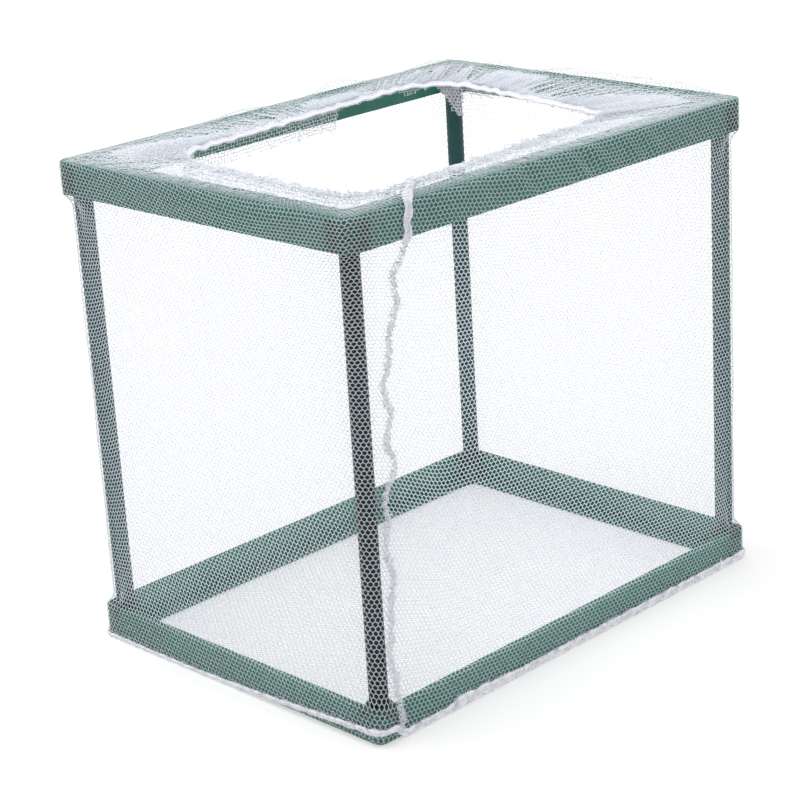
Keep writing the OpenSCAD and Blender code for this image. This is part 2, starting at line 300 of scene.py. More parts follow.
def spaced(total, width):
    """Places of a lattice's columns along a closed loop where its cells are width(s) wide."""
    s = np.linspace(0, total, 2001)
    density = 2 / width(s)
    passed = np.concatenate([[0], np.cumsum((density[1:] + density[:-1]) / 2 * np.diff(s))])
    columns = 2 * round(passed[-1] / 2)
    return np.interp(np.arange(columns), passed / passed[-1] * columns, s)


def add_netting(name, parts, material):
    """One object from several sets of strands."""
    count = 0
    shifted = []
    for points, faces in parts:
        shifted.append(faces + count)
        count += len(points)
    return add_mesh(name, np.concatenate([p for p, _ in parts]), np.concatenate(shifted), material)


# Cloth shapes

SPAN_LOW = BASE_Z + RING_H
SPAN_HIGH = TOP_Z - RING_H
PULL_IN = 1.8  # how far the netting lies inside the rings where it rests on the posts


def pulled_in(side, f, z):
    """How far the wall netting is drawn in between the rings: a stretched film held out at both rings and in at both
    posts."""
    height = SPAN_HIGH - SPAN_LOW
    length = rail.length[side] - 2 * POST_INSET
    x = np.clip((f * rail.length[side] - POST_INSET) / length, 0, 1)
    t = np.clip((z - SPAN_LOW) / height, 0, 1)
    total = np.zeros_like(t)
    for n in range(1, 40, 2):
        k = n * math.pi
        a = k * length / height
        # cosh ratio written so that large arguments don't overflow
        edge = np.exp(-a * x) + np.exp(-a * (1 - x))
        total += 4 / k * np.sin(k * t) * edge / (1 + np.exp(-a)) * math.exp(-((n / 34) ** 2))
    return PULL_IN * np.clip(total, 0, 1)


LOOP = rail.total
slide_u = waves(11, 14, 14, 90, LOOP)
slide_v = waves(12, 14, 14, 90, LOOP)
crease = waves(13, 10, 7, 20, LOOP)
puff = waves(14, 8, 12, 60, LOOP)
fold_fine = waves(21, 12, 2.8, 5.0, LOOP, along=True)
fold_wide = waves(22, 6, 7, 16, LOOP, along=True)
bunch = waves(24, 6, 5.5, 9, LOOP, along=True)
slack = waves(23, 8, 3, 9, LOOP)
slant_turn = 2 * math.pi / LOOP
slant = tuple(np.array(a) for a in zip(
    (round(0.55 / slant_turn) * slant_turn, 0.62, 0.4, 0.5),
    (round(0.82 / slant_turn) * slant_turn, 0.7, 2.1, 0.3),
    (round(0.36 / slant_turn) * slant_turn, 0.5, 4.0, 0.2),
))

RIM_R = 0.6
WALL_V = TOP_Z - RIM_R
RIM_V = WALL_V + RIM_R * math.pi / 2


def bell(x, middle, width):
    return np.exp(-(((x - middle) / width) ** 2))


def billow(side, f):
    """How far the slack netting stands above the far rails."""
    right = smooth(0.02, 0.2, f) * (1 - smooth(0.55, 0.72, f)) * 2.2 + bell(f, 0.82, 0.04) * 1.4
    back = bell(f, 0.32, 0.05) * 3.2 + bell(f, 0.58, 0.06) * 1.2 + bell(f, 0.06, 0.05) * 1.2
    return np.where(side == 1, right, 0) + np.where(side == 2, back, 0)


def gap_width(side, f):
    """Distance from the rim to the mouth."""
    return np.linalg.norm(mouth.at(side, f)[0] - rail.at(side, f)[0], axis=-1)


def margin_length(side, f):
    """Length of the cloth from the rim to the mouth."""
    gap = gap_width(side, f)
    return FLANGE_W + (gap - FLANGE_W) * SLACK


def margins(side, count=50):
    """margin_length at count places along a side."""
    return margin_length(np.full(count, side), np.linspace(0, 1, count))


def strip(s, v, layer=0):
    """The wall strip: s runs along the rail, v up the wall, over the rim and in to the mouth. Higher layers are the
    cloth folded over itself at the mouth."""
    shift = layer * 2.7
    near_rim = smooth(WALL_V - 5, WALL_V + 8, v)
    on_wall = smooth(2, 12, v) * (1 - smooth(WALL_V - 4, WALL_V + 3, v))
    s = s + ripple(slide_u, s, v) * 0.55 * on_wall + ripple(crease, s, v) * 0.16 * on_wall
    side, f = rail.place(s)
    far = np.where(side == 2, bell(f, 0.0, 0.25), 0) + np.where(side == 1, bell(f, 1.0, 0.3), 0)
    s = s + ripple(bunch, s + shift, 0 * s) * (0.55 + 0.8 * far) * near_rim
    # Slack lies in slanting creases across the front of the top ring
    on_ring = smooth(SPAN_HIGH - 6, SPAN_HIGH + 1, v)
    slanted = ripple(slant, s, v) * np.where(side == 0, bell(f, 0.6, 0.22), 0) * on_ring
    s = s + slanted * 0.32
    v_wall = v + ripple(slide_v, s, v) * 0.35 * on_wall + slanted * 0.2 * (1 - near_rim)
    side, f = rail.place(s)
    p, out = rail.at(side, f)
    z = np.clip(v_wall, 0, WALL_V)
    d = pulled_in(side, f, z)
    span = smooth(0, 8, z - SPAN_LOW) * (1 - smooth(-8, 0, z - SPAN_HIGH))
    bulge = ripple(puff, s, v) * 0.2 * span
    p = p * (1 - d[..., None] / np.array([FRAME_W / 2, FRAME_D / 2])) + out * bulge[..., None]
    over = np.clip((v - WALL_V) / RIM_R, 0, math.pi / 2)
    z = z + RIM_R * np.sin(over)
    rim = p - out * (RIM_R * (1 - np.cos(over)))[..., None]
    # Beyond the rim: flat on the flange, then slack and gathered up to the mouth
    hem, hem_out = mouth.at(side, f)
    gap = np.linalg.norm(hem - rim, axis=-1)
    run = np.maximum(v - RIM_V, 0)
    run = np.where(run < FLANGE_W, run, FLANGE_W + (run - FLANGE_W) / SLACK)
    t = np.minimum(run / gap, 1.01)
    flat = rim + (hem - rim) * t[..., None]
    free = smooth(FLANGE_W - 1.5, FLANGE_W + 4, run)
    folds = ripple(fold_fine, s + shift, 0 * s) * 1.0 + ripple(fold_wide, s + shift, 0 * s) * 0.45
    lift = np.abs(folds) * 0.22 * smooth(0, 4, run) + folds * 0.95 * free * smooth(0.2, 0.9, t)
    lift = lift + np.abs(ripple(slack, s + shift, v * 2.5)) * 0.35 * smooth(0.5, 5, run)
    tangent = np.stack([-hem_out[..., 1], hem_out[..., 0]], -1)
    sway = ripple(fold_fine, s + 1.1 + shift, 0 * s) * 0.8 * smooth(0.15, 0.9, t)
    flat = flat + tangent * sway[..., None]
    up = billow(side, f) * np.exp(-(((v - RIM_V - 1.5) / 3.2) ** 2))
    p = np.where((v > WALL_V)[..., None], flat, rim) + out * (up * 0.25)[..., None]
    z = z + np.where(v > RIM_V, np.maximum(lift, -0.05 - 0.9 * free), 0) + up + layer * 0.25
    return np.concatenate([p, z[..., None]], -1)


def fold_width(side, f):
    """How far the folded cloth reaches out from the mouth: a narrow ruffle, wide at the left and right tips, with
    pleats that fan out over the back corner."""
    left = np.where(side == 2, smooth(0.72, 0.95, f), 0) + np.where(side == 3, 1 - smooth(0.02, 0.16, f), 0)
    right = np.where(side == 0, smooth(0.9, 1.0, f), 0) + np.where(side == 1, 1 - smooth(0.1, 0.34, f), 0)
    right_side = 2.5 + 22 * smooth(0.52, 0.6, f) * (1 - smooth(0.78, 0.82, f)) + 24 * bell(f, 0.9, 0.02)
    right_side = right_side + 24 * bell(f, 1, 0.02)
    back_side = 2.5 + 24 * bell(f, 0, 0.02) + 22 * bell(f, 0.075, 0.02)
    back_side = back_side + 9 * smooth(0.24, 0.3, f) * (1 - smooth(0.42, 0.5, f))
    far = np.where(side == 1, right_side, 0) + np.where(side == 2, back_side, 0)
    return 3.4 + far + 19 * left + 26 * right


def row_places(base, s):
    """Heights up the wall of rows that would lie at base on cloth hung true. On the left side they are closer at the
    top than at the bottom, and on the near sides they sag in the middle of the top ring."""
    side, f = rail.place(s + 0.01)
    v = base - ROWS_DOWN * CELL_H * s / LOOP
    left = np.where(side == 3, smooth(0, 0.2, f), 0) + np.where(side == 0, 1 - smooth(0, 0.2, f), 0)
    v = v + 8 * np.sin(np.clip(v / WALL_V, 0, 1) * math.pi) * left
    sag = np.where(side == 3, bell(f, 0.6, 0.28), 0) * 5 + np.where(side == 0, bell(f, 0.55, 0.3), 0) * 6
    return v - sag * smooth(SPAN_HIGH - 45, SPAN_HIGH, v)


def pieces_of_strip(materials):
    """Wall netting and gathered netting, one lattice round the whole frame, cut into pieces by side and height."""
    middles = (rail.starts[:4] + rail.starts[1:]) / 2
    places = spaced(LOOP, lambda s: np.interp(s, middles, WALL_CELL_W, period=LOOP))
    foot = 0.9
    deepest = max(margins(i).max() for i in range(4))
    lines = int((RIM_V + deepest + 8) / CELL_H) + ROWS_DOWN
    net = Lattice(lines, len(places), closed=True, rows_down=ROWS_DOWN)
    s = places[net.column]
    v = row_places((net.line + net.rise) * CELL_H, s)
    side, f = rail.place(s + 0.01)
    cut = RIM_V + margin_length(side, f)
    above = v > foot
    v = np.clip(v, foot, cut)
    hubs = strip(s, v)
    normals = net.normals(hubs)
    made = []
    low = v < WALL_V - 0.3
    inside = v < cut
    for i, name in enumerate(SIDES):
        for part, mask in (("a", f < 0.5), ("b", f >= 0.5)):
            strands = net.strands(hubs, normals, net.spread((side == i) & mask & low & above))
            piece = add_netting(f"netting_{name}_{part}", [strands], materials["netting"])
            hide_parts(f"net_{name}")
            made.append((piece, (rail.length[i] / 2, WALL_V), 1.0, "stretched", []))
        strands = net.strands(hubs, normals, net.spread((side == i) & ~low & inside))
        piece = add_netting(f"gathered_netting_{name}", [strands], materials["netting"])
        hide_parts(f"mouth_net_{name}")
        made.append((piece, (rail.length[i], margins(i, 99).mean()), 1.0, "gathered", []))
    made += folded_netting(materials)
    return made


def folded_netting(materials):
    """The cloth folded over itself along the mouth, in one to four more layers, gathered into narrow cells. It is made
    as three pieces, to keep each mesh small."""
    columns = 2 * round(LOOP / CELL_W * GATHER)
    deepest = max(margins(i).max() for i in range(4))
    lines = int(deepest / CELL_H) + 4
    net = Lattice(lines, columns, closed=True)
    s = net.column * LOOP / columns
    side, f = rail.place(s + 0.01)
    cut = RIM_V + margin_length(side, f)
    v = RIM_V + deepest + (net.line + net.rise - lines + 1) * CELL_H
    v = v - deepest + margin_length(side, f)
    inside = (v < cut) & (v > RIM_V - 1)
    v = np.clip(v, RIM_V - 1, cut)
    places = {"folded_netting_near": (0, 3), "folded_netting_right": (1,), "folded_netting_back": (2,)}
    parts = {name: [] for name in places}
    kept = dict.fromkeys(places, 0)
    for layer in (1, 2, 3, 4):
        shift = LOOP / columns * 0.4 * layer
        hubs = strip(s + shift, v, layer)
        reach = fold_width(side, f) - (layer - 1) * 2.8 + ripple(crease, s + 7 * layer, v) * 1.3
        keep = (cut - v < reach) & inside
        normals = net.normals(hubs)
        for name, sides in places.items():
            here = np.isin(side, sides)
            parts[name].append(net.strands(hubs, normals, keep & net.spread(here)))
            kept[name] += (keep & here).sum() * LOOP / columns * CELL_H
    edge, edge_area = frill(materials)
    sheets = []
    for name, sides in places.items():
        piece = add_netting(name, parts[name], materials["netting"])
        for i in sides:
            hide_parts(f"mouth_net_{SIDES[i]}")
        more, extra = ([edge], edge_area) if name == "folded_netting_back" else ([], 0)
        whole = kept[name] + extra
        length = sum(mouth.length[i] for i in sides)
        sheets.append((piece, (length, whole / length), kept[name] / whole, "gathered", more))
    return sheets


def frill_depth(side, f):
    """How far the frayed edge hangs below the mouth, by place along it."""
    back = 7.5 * smooth(0.35, 0.37, f) + 3.0 * bell(f, 0.07, 0.04)
    flap = 8.5 * smooth(0.985, 0.885, f) * smooth(0.872, 0.88, f)
    right = 1.0 + 2.0 * smooth(0.64, 0.7, f) * (1 - smooth(0.93, 0.98, f)) + flap
    left = 7.5 - 4 * smooth(0.05, 0.4, f)
    return np.where(side == 2, back, np.where(side == 3, left, np.where(side == 1, right, 2.6)))


def frill(materials):
    """The cloth's free edge below the elastic. It is drawn out wide along the back and doubled in the flap at the back
    corner."""

    def width(s):
        side, f = mouth.place(s)
        wide = np.where(side == 2, smooth(0.5, 0.75, f), 0)
        return 1.25 + 0.95 * wide + np.where(side == 2, 0.35 * smooth(0.34, 0.4, f), 0)

    places = spaced(mouth.total, width)
    net = Lattice(10, len(places), closed=True)
    s = places[net.column]
    w = (net.line - net.rise) * CELL_H
    side, f = mouth.place(s + 0.01)
    rng = np.random.default_rng(31)
    parts = []
    area = 0
    for layer in range(3):

        def hanging(s, w):
            side, f = mouth.place(s)
            p, out = mouth.at(side, f)
            u = s * LOOP / mouth.total + 3 * layer
            sway = ripple(fold_fine, u, 0 * s) * 0.5 + ripple(fold_wide, u, 0 * s) * 0.5
            taut = np.where(side == 2, smooth(0.45, 0.7, f), 0)
            p = p + out * (sway * smooth(0, 4, w) * (1 - 0.7 * taut) + 0.12 * w + 0.3 * layer)[..., None]
            z = TOP_Z - 0.4 - w * 0.94 + 0.2 * ripple(slack, u, w)
            return np.concatenate([p, z[..., None]], -1)

        hubs = hanging(s + 0.4 * layer, w)
        fray = ripple(slack, s * LOOP / mouth.total, 2 * w) * 0.9 + rng.uniform(-0.5, 0.5, len(places))[net.column]
        keep = w < frill_depth(side, f) + fray
        if layer:
            keep &= (side == 1) & (f > 0.87)
        parts.append(net.strands(hubs, -net.normals(hubs), keep))
        area += (keep * width(s)).sum() / 2 * CELL_H
    piece = add_netting("frill_netting", parts, materials["edge_netting"])
    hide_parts("mouth_frill")
    return piece, area


# Threads: sewing, elastic and fuzz


def tube_mesh(name, lines, radius, material, sides=5, closed=False):
    """Round threads along lines, an array of (thread, point, xyz). radius is one number or one for every point."""
    lines = np.asarray(lines, float)
    count, n = lines.shape[:2]
    radius = np.broadcast_to(np.asarray(radius, float), (count, n))
    if closed:
        tangent = unit(np.roll(lines, -1, 1) - np.roll(lines, 1, 1))
    else:
        tangent = unit(np.gradient(lines, axis=1))
    start = np.cross(tangent[:, 0], (0.31, 0.17, 0.93))
    frame_x = np.empty_like(lines)
    x = unit(start)
    for i in range(n):
        x = x - tangent[:, i] * (x * tangent[:, i]).sum(-1, keepdims=True)
        x = unit(x)
        frame_x[:, i] = x
    frame_y = np.cross(tangent, frame_x)
    turn = np.arange(sides) * 2 * math.pi / sides
    ring = frame_x[:, :, None] * np.cos(turn)[:, None] + frame_y[:, :, None] * np.sin(turn)[:, None]
    points = lines[:, :, None] + ring * radius[:, :, None, None]
    base = np.arange(count * n * sides).reshape(count, n, sides)
    here, ahead = (base, np.roll(base, -1, 1)) if closed else (base[:, :-1], base[:, 1:])
    faces = np.stack([here, np.roll(here, -1, 2), np.roll(ahead, -1, 2), ahead], -1).reshape(-1, 4)
    return add_mesh(name, points.reshape(-1, 3), faces, material)


def along(path, step, closed=False):
    """The path resampled at about one step, with its tangents."""
    path = np.asarray(path, float)
    if closed:
        path = np.concatenate([path, path[:1]])
    d = np.concatenate([[0], np.cumsum(np.linalg.norm(np.diff(path, axis=0), axis=1))])
    at = np.linspace(0, d[-1], max(8, int(d[-1] / step)), endpoint=not closed)
    points = np.stack([np.interp(at, d, path[:, i]) for i in range(3)], -1)
    if closed:
        tangent = unit(np.roll(points, -1, 0) - np.roll(points, 1, 0))
    else:
        tangent = unit(np.gradient(points, axis=0))
    return at, points, tangent


def sewn_band(path, outward, width, thick, passes, pitch, seed, closed=False):
    """Lines of thread sewn back and forth across a band: an array of (pass, point, xyz)."""
    rng = np.random.default_rng(seed)
    d, p, t = along(path, pitch / 6, closed)
    out = unit(outward(p) - t * (outward(p) * t).sum(-1, keepdims=True))
    across = np.cross(out, t)
    lines = []
    for _ in range(passes):
        pace = np.cumsum(np.maximum(0.3, 1 + 0.35 * rng.standard_normal(len(d))))
        count = round(d[-1] / pitch * rng.uniform(0.8, 1.2))
        phase = pace / pace[-1] * count * 2 * math.pi + rng.uniform(0, 6)
        w = waves(rng.integers(1e6), 8, 1.5, 9, d[-1] + (d[1] - d[0]) if closed else None, along=True)
        w2 = waves(rng.integers(1e6), 8, 1.5, 9, d[-1] + (d[1] - d[0]) if closed else None, along=True)
        reach = width(d) / 2 * (0.72 + 0.3 * ripple(w, d, 0 * d))
        offset = width(d) / 2 * 0.25 * ripple(w2, d, 0 * d)
        rise = thick * (0.45 + 0.4 * np.cos(phase * 2) + 0.3 * ripple(w, d + 5, 0 * d))
        lines.append(p + across * (np.sin(phase) * reach + offset)[:, None] + out * np.maximum(rise, 0.05)[:, None])
    return np.array(lines)


def felt(name, path, outward, width, thick, material, seed, closed=False, step=0.35, around=14, rough=0.16):
    """The body of a seam: a flattened roll of bunched cloth with a bumpy surface."""
    d, p, t = along(path, step, closed)
    out = unit(outward(p) - t * (outward(p) * t).sum(-1, keepdims=True))
    across = np.cross(out, t)
    a = np.arange(around) * 2 * math.pi / around
    w = waves(seed, 16, 0.7, 5, d[-1] + (d[1] - d[0]) if closed else None)
    grid_d, grid_a = np.meshgrid(d, a, indexing="ij")
    bump = 1 + rough * ripple(w, grid_d, grid_a * 1.2)
    wide = (width(d) / 2)[:, None] * bump * np.cos(a)
    high = thick / 2 + thick / 2 * bump * np.sin(a)
    points = p[:, None] + across[:, None] * wide[..., None] + out[:, None] * high[..., None]
    n = len(d)
    base = np.arange(n * around).reshape(n, around)
    here, ahead = (base, np.roll(base, -1, 0)) if closed else (base[:-1], base[1:])
    faces = np.stack([here, np.roll(here, -1, 1), np.roll(ahead, -1, 1), ahead], -1).reshape(-1, 4)
    return add_mesh(name, points.reshape(-1, 3), faces, material)


def fuzz(name, path, outward, spread, count, length, radius, material, seed, closed=False, low=None):
    """Short loose fibres that stand out from a seam."""
    rng = np.random.default_rng(seed)
    d, p, t = along(path, 0.4, closed)
    out = unit(outward(p) - t * (outward(p) * t).sum(-1, keepdims=True))
    across = np.cross(out, t)
    pick = rng.integers(0, len(d), count)
    start = p[pick] + across[pick] * (rng.uniform(-0.5, 0.5, count) * spread)[:, None]
    lean = rng.standard_normal((count, 3)) * 0.5 + out[pick] * 0.5
    lean = lean + across[pick] * rng.choice([-1, 1], count)[:, None] * 0.8
    curl = rng.standard_normal((count, 3)) * 0.5
    size = rng.uniform(0.4, 1, count) * length
    u = np.linspace(0, 1, 5)
    reach = unit(lean)[:, None] * u[:, None] + curl[:, None] * (u**2)[:, None] * 0.6
    lines = start[:, None] + reach * size[:, None, None]
    if low is not None:
        lines[..., 2] = np.maximum(lines[..., 2], low)
    thin = radius * np.array([1, 1, 0.9, 0.7, 0.3])
    return tube_mesh(name, lines, np.broadcast_to(thin, (count, 5)), material, sides=3)


def outward_of_frame(p):
    """Outward direction of the frame's upright faces at points near them."""
    inner = np.array([FRAME_W / 2 - CORNER_R, FRAME_D / 2 - CORNER_R])
    reach = p[:, :2] - np.clip(p[:, :2], -inner, inner)
    return unit(np.concatenate([reach, 0 * reach[:, :1]], -1))


def upward(p):
    return np.broadcast_to((0.0, 0.0, 1.0), p.shape)


# Floor seam: place (side and share of it), height of the middle and width. It has slipped up towards the front of the
# left side.
FLOOR_SEAM = [
    (0.0, 4.3, 2.3), (0.035, 4.2, 2.4), (0.05, 1.5, 2.7), (0.16, 1.5, 2.5), (0.19, 2.4, 4.2), (0.25, 2.1, 3.7),
    (0.35, 1.6, 3.0), (0.95, 1.7, 3.0), (1.05, 1.7, 3.0), (1.5, 1.4, 2.4), (2.5, 1.4, 2.4), (2.95, 1.3, 2.2),
    (3.0, 0.75, 1.2), (3.35, 0.75, 1.2), (3.45, 1.0, 1.7), (3.6, 1.6, 1.8), (3.8, 3.0, 1.9), (3.95, 4.1, 2.1),
    (4.0, 4.3, 2.3),
]


def floor_seam(materials):
    """The seam that joins the walls to the floor: bunched cloth oversewn with thread."""
    n = 1400
    side, f = rail.place(np.arange(n) * LOOP / n)
    place, height, wide = np.array(FLOOR_SEAM).T
    soften = np.hanning(9) / np.hanning(9).sum()

    def eased(values):
        line = np.interp(side + f, place, values)
        return np.convolve(np.concatenate([line[-4:], line, line[:4]]), soften, "valid")

    z, wide = eased(height), eased(wide)
    p, _ = rail.at(side, f)
    path = np.concatenate([p, z[:, None]], -1)
    w = waves(55, 12, 1.2, 12, LOOP, along=True)

    def width(d):
        u = d / d[-1] * LOOP
        return np.interp(u, np.arange(n) * LOOP / n, wide) * (1 + 0.13 * ripple(w, u, 0 * u))

    thread_slot = materials["seam_thread"]
    core = lambda d: 0.75 * width(d)
    body = felt("floor_seam_body", path, outward_of_frame, core, 0.65, thread_slot, 50, closed=True, rough=0.3)
    lines = sewn_band(path, outward_of_frame, width, 0.85, 7, 1.3, 60, closed=True)
    lines[..., 2] = np.maximum(lines[..., 2], 0.15)
    sewing = tube_mesh("floor_seam_sewing", lines, 0.1, thread_slot, sides=4, closed=True)
    loose = fuzz(
        "floor_seam_fuzz", path, outward_of_frame, 2.7, 4200, 1.3, 0.045, thread_slot, 70, closed=True, low=0.1
    )
    return [(p, "seam_thread", ["floor_seam"]) for p in (body, sewing, loose)]


# Side seam: distance from the left end of the front side, by share of the height
SIDE_SEAM = [
    (7, 0), (8, 0.06), (6.5, 0.14), (7, 0.22), (9, 0.29), (7.5, 0.38), (8.5, 0.47), (12, 0.52), (10, 0.57),
    (11.5, 0.62), (10, 0.67), (13, 0.76), (15.5, 0.82), (15, 0.87), (18, 0.91), (20.5, 0.95), (21.5, 1),
]


def side_seam(materials):
    """The wavy seam that closes the wall strip, from the floor seam up the front side and over the rim to the mouth."""
    x, share = np.array(SIDE_SEAM, float).T
    y = -FRAME_D / 2 - CLEAR - STRAND_T
    up = np.stack([x - FRAME_W / 2, 0 * x + y, 2 + share * (TOP_Z - 1.6)], -1)
    fine = along(up, 1.0)[1]
    side, f = rail.place(fine[:, 0] + FRAME_W / 2 + 0.6)
    fine[:, 1] += pulled_in(side, f, fine[:, 2]) * 0.9
    fine[:, 0] += 0.5 * np.sin(fine[:, 2] / 2.3) + 0.35 * np.sin(fine[:, 2] / 0.9 + 1)
    end = mouth.at(np.array(0), np.array(0.17))[0]
    share = np.linspace(0, 1, 7)[1:, None]
    start = np.array([fine[-1, 0], y + 0.6])
    over = np.concatenate([start + (end - start) * share, TOP_Z + 0.5 + 0.4 * np.sin(share * 3)], -1)
    path = np.concatenate([fine, [(fine[-1, 0], y + 0.3, TOP_Z + 0.3)], over])

    def out(p):
        tilt = smooth(TOP_Z - 1.5, TOP_Z + 0.6, p[:, 2])
        return unit(np.stack([0 * tilt, -(1 - tilt), tilt], -1))

    total = along(path, 1)[0][-1]

    def width(d):
        up = d / total
        return 2.6 + 0.7 * smooth(0.8, 0.84, up) + 0.5 * (1 - smooth(0.03, 0.07, up)) + 0.35 * np.sin(d / 1.9)

    lines = sewn_band(path, out, width, 0.9, 5, 1.9, 81)
    sewing = tube_mesh("side_seam_sewing", lines, 0.1, materials["seam_thread"], sides=4)
    dense = (path[:, 2] > TOP_Z - RING_H - 1) & (path[:, 1] < y + 6)
    body = felt("side_seam_body", path[dense], out, lambda d: 2.6 + 0.25 * np.sin(d), 0.5, materials["seam_thread"], 82)
    loose = fuzz("side_seam_fuzz", path, out, 2.2, 1500, 1.5, 0.045, materials["seam_thread"], 83)
    return [(p, "seam_thread", ["side_seam"]) for p in (sewing, body, loose)]


def elastic(materials):
    """The elastic round the mouth in its puckered hem."""
    n = 1400
    s = np.arange(n) * mouth.total / n
    side, f = mouth.place(s)
    p, _ = mouth.at(side, f)
    sag = 0.25 * ripple(fold_wide, s * LOOP / mouth.total, 0 * s)
    path = np.concatenate([p, (TOP_Z + 0.2 + sag)[:, None]], -1)
    w = waves(91, 20, 2.5, 12, mouth.total, along=True)
    core_r = 0.5 * (1 + 0.1 * ripple(w, s, 0 * s))[None]
    core = tube_mesh("elastic_core", path[None], core_r, materials["elastic"], 10, closed=True)
    made = [(core, "elastic", ["elastic_cord"])]

    def width(d):
        u = d / d[-1] * mouth.total
        return 2.5 + 0.3 * ripple(w, u, 0 * u)

    flat = path - (0, 0, 1.0)
    body = felt("hem_body", flat, upward, width, 1.1, materials["seam_thread"], 94, closed=True, rough=0.07)
    lines = sewn_band(flat, upward, width, 1.1, 3, 1.15, 92, closed=True)
    sewing = tube_mesh("hem_sewing", lines, 0.08, materials["seam_thread"], sides=4, closed=True)
    loose = fuzz("hem_fuzz", flat, upward, 2.9, 2600, 1.1, 0.04, materials["seam_thread"], 93, closed=True)
    made += [(p, "seam_thread", ["elastic_cord"]) for p in (body, sewing, loose)]
    return made


def floor_net(materials):
    """Netting under the bottom ring, down to the surface that the box stands on."""
    lines = int(FRAME_D / CELL_H) - 1
    columns = int(2 * FRAME_W / CELL_W) - 2
    net = Lattice(lines, columns, closed=False)
    x = (net.column - (columns - 1) / 2) * CELL_W / 2
    y = (net.line + net.rise - (lines - 1) / 2) * CELL_H

    def at(x, y):
        middle = smooth(0, 14, FRAME_W / 2 - FLANGE_W - np.abs(x)) * smooth(0, 14, FRAME_D / 2 - FLANGE_W - np.abs(y))
        z = BASE_Z / 2 + 0 * x + middle * (0.35 + 0.3 * ripple(puff, x, y))
        x = x + 0.6 * ripple(slide_u, x, y)
        y = y + 0.6 * ripple(slide_v, x, y)
        x = np.clip(x, 1 - FRAME_W / 2, FRAME_W / 2 - 1)
        y = np.clip(y, 1 - FRAME_D / 2, FRAME_D / 2 - 1)
        return np.stack([x, y, z], -1)

    hubs = at(x, y)
    normals = net.normals(hubs)
    pieces = []
    for part, mask in (("a", y < 0), ("b", y >= 0)):
        strands = net.strands(hubs, normals, net.spread(mask))
        pieces.append(add_netting(f"netting_floor_{part}", [strands], materials["netting"]))
        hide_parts("net_floor")
    return [(p, (FRAME_W, FRAME_D / 2), 1.0, "stretched", []) for p in pieces]


# Materials


def new_material(name):
    mat = bpy.data.materials.new(name)
    mat.use_nodes = True
    nodes = mat.node_tree.nodes
    return mat, nodes, mat.node_tree.links, nodes["Principled BSDF"]


def add_node(nodes, kind, **values):
    node = nodes.new(kind)
    for key, value in values.items():
        if key in node.inputs:
            node.inputs[key].default_value = value
        else:
            setattr(node, key, value)
    return node


def mottled(nodes, links, low, high, scale, detail=4.0, stretch=(1, 1, 1)):
    """A colour that drifts between low and high with the object's own coordinates."""
    place = nodes.new("ShaderNodeTexCoord")
    mapping = add_node(nodes, "ShaderNodeMapping")
    mapping.inputs["Scale"].default_value = stretch
    noise = add_node(nodes, "ShaderNodeTexNoise", Scale=scale, Detail=detail, Roughness=0.6)
    ramp = nodes.new("ShaderNodeValToRGB")
    ramp.color_ramp.elements[0].color = (*low, 1)
    ramp.color_ramp.elements[1].color = (*high, 1)
    ramp.color_ramp.elements[0].position = 0.35
    ramp.color_ramp.elements[1].position = 0.65
    links.new(place.outputs["Object"], mapping.inputs["Vector"])
    links.new(mapping.outputs["Vector"], noise.inputs["Vector"])
    links.new(noise.outputs["Fac"], ramp.inputs["Fac"])
    return noise, ramp


def mix_clear(nodes, links, share):
    """Lets part of the light straight through, for thin clear strands."""
    output = nodes["Material Output"]
    clear = nodes.new("ShaderNodeBsdfTransparent")
    mix = nodes.new("ShaderNodeMixShader")
    mix.inputs["Fac"].default_value = share
    links.new(output.inputs["Surface"].links[0].from_socket, mix.inputs[1])
    links.new(clear.outputs[0], mix.inputs[2])
    links.new(mix.outputs[0], output.inputs["Surface"])


def mix_translucent(nodes, links, bsdf, colour, share):
    """Adds light that comes through the material from behind."""
    through = nodes.new("ShaderNodeBsdfTranslucent")
    through.inputs["Color"].default_value = (*colour, 1)
    mix = nodes.new("ShaderNodeMixShader")
    mix.inputs["Fac"].default_value = share
    links.new(bsdf.outputs[0], mix.inputs[1])
    links.new(through.outputs[0], mix.inputs[2])
    links.new(mix.outputs[0], nodes["Material Output"].inputs["Surface"])


def calculated(nodes, links, operation, *values):
    """The result of a math node. Each value is a socket or a number."""
    node = add_node(nodes, "ShaderNodeMath", operation=operation)
    for socket, value in zip(node.inputs, values):
        if isinstance(value, (int, float)):
            socket.default_value = value
        else:
            links.new(value, socket)
    return node.outputs[0]


def darkened(nodes, links, share, colour, dark, blend="MIX"):
    """The colour blended with dark by share."""
    mix = add_node(nodes, "ShaderNodeMix", data_type="RGBA", blend_type=blend)
    colours = {i.name: i for i in mix.inputs if i.type == "RGBA"}
    colours["B"].default_value = (*dark, 1)
    links.new(share, mix.inputs["Factor"])
    links.new(colour, colours["A"])
    return [o for o in mix.outputs if o.type == "RGBA"][0]


def object_place(nodes, links):
    """X, Y and Z of the object's own coordinates."""
    split = nodes.new("ShaderNodeSeparateXYZ")
    links.new(nodes["Texture Coordinate"].outputs["Object"], split.inputs[0])
    return split.outputs["X"], split.outputs["Y"], split.outputs["Z"]


def post_shade_mask(nodes, links, x, y):
    """Mask for painted shade: a number that is 1 where a post stands behind the wall of its socket and 0 away from the
    posts.
    """
    squares = []
    for place, size in ((x, FRAME_W), (y, FRAME_D)):
        off = calculated(nodes, links, "ABSOLUTE", place)
        off = calculated(nodes, links, "SUBTRACT", off, (size / 2 - POST_INSET) * MM)
        squares.append(calculated(nodes, links, "POWER", off, 2))
    distance = calculated(nodes, links, "SQRT", calculated(nodes, links, "ADD", *squares))
    near = add_node(nodes, "ShaderNodeMapRange")
    near.inputs["From Min"].default_value = (POST_SHADE_R + POST_SHADE_SOFT) * MM
    near.inputs["From Max"].default_value = POST_SHADE_R * MM
    links.new(distance, near.inputs["Value"])
    return near.outputs[0]
